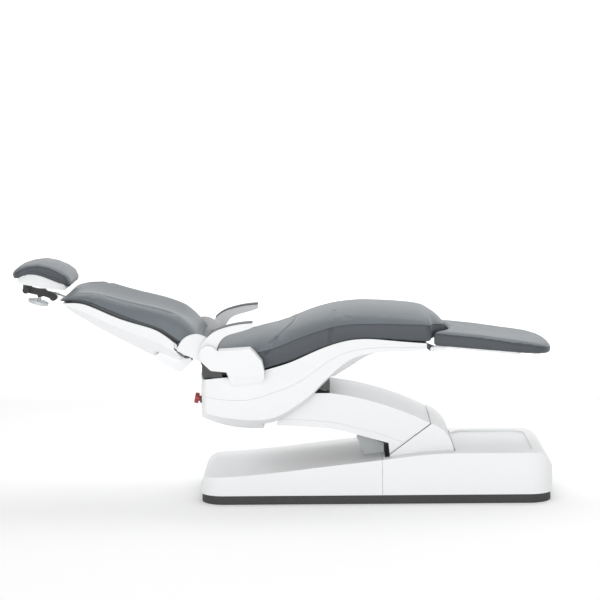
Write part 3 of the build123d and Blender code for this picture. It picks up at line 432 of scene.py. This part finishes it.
pocket = []
for t in np.linspace(-1, 1, 41):
    x = -0.292 - 0.100 * abs(t) ** 2.2
    pocket.append((x, 0.246 * t, float(seat_crown(x)) - 0.012 * abs(t) ** 3))
pocket = cling(seat, pocket)
press(seat, pocket, 0.0032, 0.0065)
for side in (-1, 1):
    pleat = [(-0.165, side * 0.250, float(seat_under(-0.165)) + 0.004), (-0.165, side * 0.252, 0.625),
             (-0.164, side * 0.249, 0.652), (-0.158, side * 0.20, 0.695), (-0.150, side * 0.13, 0.705)]
    press(seat, cling(seat, pleat), 0.0028, 0.005, False)
    fold = [(-0.404, side * 0.249, 0.566), (-0.380, side * 0.236, 0.592), (-0.362, side * 0.205, 0.612)]
    press(seat, cling(seat, fold), 0.0035, 0.007, False)
seat_edge = []
for side in (-1, 1):
    seat_edge.append([(x, side * (foot_half(x) + 0.001), float(seat_seam(x))) for x in np.linspace(-0.585,
                                                                                                   0.176, 110)])


def seat_faces(c, n):
    """Material index per face: 0 top, 1 side and underside in painted shade, 2 the hip end in deeper painted
    shade.
    """
    half = np.array([foot_half(x) for x in c[:, 0]])
    side = (c[:, 2] < seat_seam(c[:, 0]) - 0.001) & ((np.abs(c[:, 1]) > half - 0.02) | (c[:, 0] > 0.17))
    hip = c[:, 0] < -0.578
    return np.where(hip, 2, np.where(side | (n[:, 2] < -0.5), 1, 0))


paint(seat, seat_faces, (TOP, LEATHER_SHADE, LEATHER_DEEP_SHADE))
settle(seat, "seat", "seat_cushion")
for number, line in enumerate(seat_edge):
    tube("seat_piping_%d" % number, cling(seat, line, 0.0006), SEAM_BEAD, PIPE, "seat")
foot_end = []
for x in np.concatenate([np.linspace(0.184, 0.267, 50), np.linspace(0.267, 0.184, 50)[1:]]):
    foot_end.append((x, (-1 if len(foot_end) < 50 else 1) * foot_half(x), float(seat_seam(x))))
tube("seat_piping_foot", cling(seat, foot_end, 0.0006), SEAM_BEAD, PIPE, "seat")
stitches("seat_pocket_stitches", cling(seat, [(p[0] - 0.005, p[1], p[2]) for p in pocket], 0.0005), "seat")

# ------------------------------------------------------------------ backrest cushion
back_crown = smooth_line([(-1154, 758), (-1147, 768), (-1121, 776), (-1085, 781), (-1038, 782), (-999, 775),
                          (-950, 761), (-896, 747), (-817, 729), (-758, 713), (-718, 695), (-679, 663),
                          (-650, 622), (-638, 600)], 0.009)
back_seam = smooth_line([(-1154, 757), (-1115, 765), (-1070, 766), (-1033, 755), (-960, 724), (-887, 694),
                         (-813, 668), (-776, 653), (-747, 631), (-717, 608), (-690, 603), (-638, 598)],
                        0.009)
back_under = smooth_line([(-1154, 752), (-1137, 752.5), (-1104, 753.5), (-1070, 750.5), (-1033, 738.5),
                          (-997, 722.5), (-924, 691.5), (-850, 668.5), (-795, 648.5), (-754, 620.5),
                          (-725, 597), (-638, 594)], 0.005)
back_half = smooth_line([(-1154, 222), (-1140, 238), (-1100, 252), (-1000, 257), (-850, 258), (-780, 253),
                         (-735, 243), (-638, 239)], 0.012)
rings = []
for x in np.concatenate([np.linspace(-1.152, -1.12, 8), np.linspace(-1.11, -0.66, 44),
                         np.linspace(-0.655, -0.640, 4)]):
    under, seam, crown = float(back_under(x)) + 0.0006, float(back_seam(x)), float(back_crown(x)) - 0.003
    seam = min(max(seam, under + 0.003), crown - 0.001)
    waist = min(1.0, max(0.0, (x + 1.13) / 0.12)) * min(1.0, max(0.0, (-0.66 - x) / 0.06))
    rings.append(ring(x, float(back_half(x)) - 0.002, under, seam, crown, 9.0, 0.001, 0.020 * waist,
                      power=0.55))
back = loft_rings("backrest_cushion_skin", rings)
puff(back, 0.006, 0.004)
for side in (-1, 1):
    channel = [(x, side * (0.178 + 0.010 * math.sin((x + 1.1) * 6)),
                float(back_crown(x)) - 0.004) for x in np.linspace(-1.085, -0.745, 40)]
    channel = cling(back, channel)
    press(back, channel, 0.0030, 0.0100)
    for shift in (-0.005, 0.005):
        stitches("back_stitches_%s_%s" % ("l" if side > 0 else "r", "a" if shift < 0 else "b"),
                 cling(back, [(p[0], p[1] + shift, p[2]) for p in channel], 0.0005), "backrest")
    tuck = [(-1.040, side * 0.256, 0.752), (-1.028, side * 0.232, 0.772), (-1.012, side * 0.196, 0.775)]
    press(back, cling(back, tuck), 0.004, 0.007, False)


def back_faces(c, n):
    """Material index per face: 0 top, 1 rim and underside in painted shade."""
    rim = (c[:, 2] < back_seam(c[:, 0]) - 0.001) & (np.abs(c[:, 1]) > back_half(c[:, 0]) - 0.02)
    return np.where(rim | (n[:, 2] < -0.5), 1, 0)


paint(back, back_faces, (TOP, LEATHER_DEEP_SHADE))
settle(back, "backrest", "backrest_cushion")
for side in (-1, 1):
    run = [(x, side * float(back_half(x)), float(back_seam(x))) for x in np.linspace(-1.135, -0.70, 80)]
    tube("back_piping_%s" % ("l" if side > 0 else "r"), cling(back, run, 0.0005), SEAM_BEAD, PIPE, "backrest")
head_run = [(-1.153, y, 0.7605) for y in np.linspace(-0.215, 0.215, 40)]
tube("back_piping_head", cling(back, head_run, 0.0005), SEAM_BEAD, PIPE, "backrest")

# ------------------------------------------------------------------ headrest cushion
HEAD_PROFILE = [(-1330, 824), (-1338, 832), (-1340, 846), (-1334, 859), (-1315, 871), (-1285, 880),
                (-1242, 885), (-1197, 876), (-1158, 859), (-1133, 836), (-1122, 813), (-1124, 798),
                (-1134, 792),
                (-1145, 806), (-1180, 821), (-1214, 832.5), (-1249, 843.5), (-1283, 845.5), (-1308, 839),
                (-1322, 832)]
profile = np.array(HEAD_PROFILE) / 1000
centre = np.array([-1.235, 0.852])
rings = []
for y in np.concatenate([np.linspace(-HEAD_HALF, -0.112, 9), np.linspace(-0.10, 0.10, 14),
                         np.linspace(0.112, HEAD_HALF, 9)]):
    t = max(0.0, (abs(y) - 0.108) / 0.0305)
    shrink = 1 - 0.30 * (1 - math.sqrt(max(0.0, 1 - t * t)))
    crown_drop = 0.006 * (y / HEAD_HALF) ** 2
    ring_points = []
    for px, pz in profile:
        qx = centre[0] + (px - centre[0]) * shrink
        qz = centre[1] + (pz - centre[1]) * shrink
        ring_points.append((qx, y, qz - (crown_drop if pz > 0.85 else 0)))
    rings.append(ring_points)
head = loft_rings("headrest_cushion_skin", rings)
puff(head, 0.005, 0.004)
# Side and underside faces of the headrest get the leather darkened as painted shade.
paint(head, lambda c, n: np.where((np.abs(n[:, 1]) > 0.72) | (n[:, 2] < -0.3), 1, 0), (TOP, LEATHER_SHADE))
settle(head, "headrest", "headrest_cushion")
for side in (-1, 1):
    run = [(px, side * 0.131, pz + 0.003) for px, pz in profile[::-1][2:7]]
    run = [(np.interp(k, range(5), [r[0] for r in run]), side * 0.131,
            np.interp(k, range(5), [r[2] for r in run]) + 0.010) for k in np.linspace(0, 4, 40)]
    tube("head_piping_%s" % ("l" if side > 0 else "r"), cling(head, run, 0.0004), HEAD_BEAD, PIPE, "headrest")

# ------------------------------------------------------------------ footrest board
board_crown = smooth_line([(209, 627), (230, 628), (386, 611), (580, 582), (640, 569), (660, 558)], 0.008)
board_under = smooth_line([(209, 578), (222, 577), (609, 541.5), (660, 535)], 0.004)


def board_plan():
    """The board's outline, a crescent at the seat end and rounded at the toe end."""
    pts = []
    for t in np.linspace(-1, 1, 41):
        pts.append((0.212 + 0.061 * (1 - abs(t) ** 1.7), BOARD_HALF * t))
    for t in np.linspace(0, 1, 30)[1:]:
        pts.append((BOARD_START + BOARD_STRAIGHT * t, BOARD_HALF))
    for a in np.linspace(90, -90, 60)[1:]:
        pts.append((0.560 + 0.097 * abs(math.cos(math.radians(a))) ** 0.72,
                    BOARD_HALF * math.copysign(abs(math.sin(math.radians(a))) ** 0.72, a)))
    for t in np.linspace(1, 0, 30)[1:-1]:
        pts.append((BOARD_START + BOARD_STRAIGHT * t, -BOARD_HALF))
    return np.array(pts)


outline = board_plan()
middle = np.array([0.43, 0.0])


def board_ring(inset, level):
    """The outline drawn in by inset, at a level from 0 at the underside to 1 at the crown."""
    out = []
    for x, y in outline:
        px = x - inset * np.sign(x - middle[0]) * min(1, abs(x - middle[0]) / 0.1)
        py = y - inset * np.sign(y) * min(1, abs(y) / 0.05)
        low, high = float(board_under(px)), float(board_crown(px))
        out.append((px, py, low + level * (high - low)))
    return out


layers = [board_ring(0.004, 0.0), board_ring(0.0005, 0.12), board_ring(0, 0.45), board_ring(0.0, 0.72),
          board_ring(0.003, 0.88), board_ring(0.009, 0.96), board_ring(0.022, 1.0), board_ring(0.05, 1.0)]
board = loft_rings("footrest_board_skin", layers)
puff(board, 0.005, 0.0025, 2)
# Footboard faces turned away from straight up get the leather darkened as painted shade.
paint(board, lambda c, n: np.where((n[:, 2] < 0.55), 1, 0), (TOP, LEATHER_SHADE))
settle(board, "footrest_body", "footrest_board")

# ------------------------------------------------------------------ floor, light and camera
sweep = [(-14, 0.0), (-6, 0.0), (0, 0.0), (5, 0.0)]
sweep += [(5 + 5 * math.sin(a), 5 - 5 * math.cos(a)) for a in np.linspace(0.08, math.pi / 2, 20)] + [(10,
                                                                                                      16)]
mesh = bpy.data.meshes.new("studio_floor")
spots = [(x, y, z) for x in (-22, 0, 22) for y, z in sweep]
rows = len(sweep)
quads = [(c * rows + r, (c + 1) * rows + r, (c + 1) * rows + r + 1, c * rows + r + 1)
         for c in (0, 1) for r in range(rows - 1)]
mesh.from_pydata(spots, [], quads)
for face in mesh.polygons:
    face.use_smooth = True
floor = bpy.data.objects.new("studio_floor", mesh)
scene.collection.objects.link(floor)
floor.data.materials.append(FLOOR)
world = bpy.data.worlds.new("studio")
scene.world = world
world.use_nodes = True
world.node_tree.nodes["Background"].inputs["Color"].default_value = (1, 1, 1, 1)
world.node_tree.nodes["Background"].inputs["Strength"].default_value = WORLD_LIGHT


def lamp(name, spot, target, size, power):
    """Rectangular area lamp at a spot, aimed at a target; size in metres, power in watts."""
    data = bpy.data.lights.new(name, "AREA")
    data.shape = "RECTANGLE"
    data.size, data.size_y = size
    data.energy = power
    obj = bpy.data.objects.new(name, data)
    scene.collection.objects.link(obj)
    obj.location = spot
    obj.rotation_euler = (Vector(target) - Vector(spot)).to_track_quat("-Z", "Y").to_euler()


lamp("overhead", (0.3, 0.9, 3.2), (-0.1, 0, 0.5), (3.4, 1.6), 34)
lamp("front", (-0.6, -5.2, 1.1), (-0.2, 0, 0.4), (4.2, 1.8), 84)
lamp("backdrop", (0, 3.2, 4.2), (0, 9.5, 2.4), (9, 3), 330)
scene.view_settings.view_transform = "Standard"

pitch, yaw, roll = (math.radians(a) for a in (CAMERA_PITCH, CAMERA_YAW, CAMERA_ROLL))
look = Vector((-math.sin(yaw) * math.cos(pitch), math.cos(yaw) * math.cos(pitch), -math.sin(pitch)))
right = Vector((math.cos(yaw), math.sin(yaw), 0))
up = right.cross(look)
cam_x = right * math.cos(roll) - up * math.sin(roll)
cam_y = right * math.sin(roll) + up * math.cos(roll)
camera = bpy.data.cameras.new("camera")
camera.lens = LENS
camera.sensor_width = SENSOR
camera.clip_end = FAR_CLIP
eye = bpy.data.objects.new("camera", camera)
scene.collection.objects.link(eye)
turn = Matrix((cam_x, cam_y, -look)).transposed().to_4x4()
eye.matrix_world = Matrix.Translation(CAMERA_SPOT) @ turn
scene.camera = eye
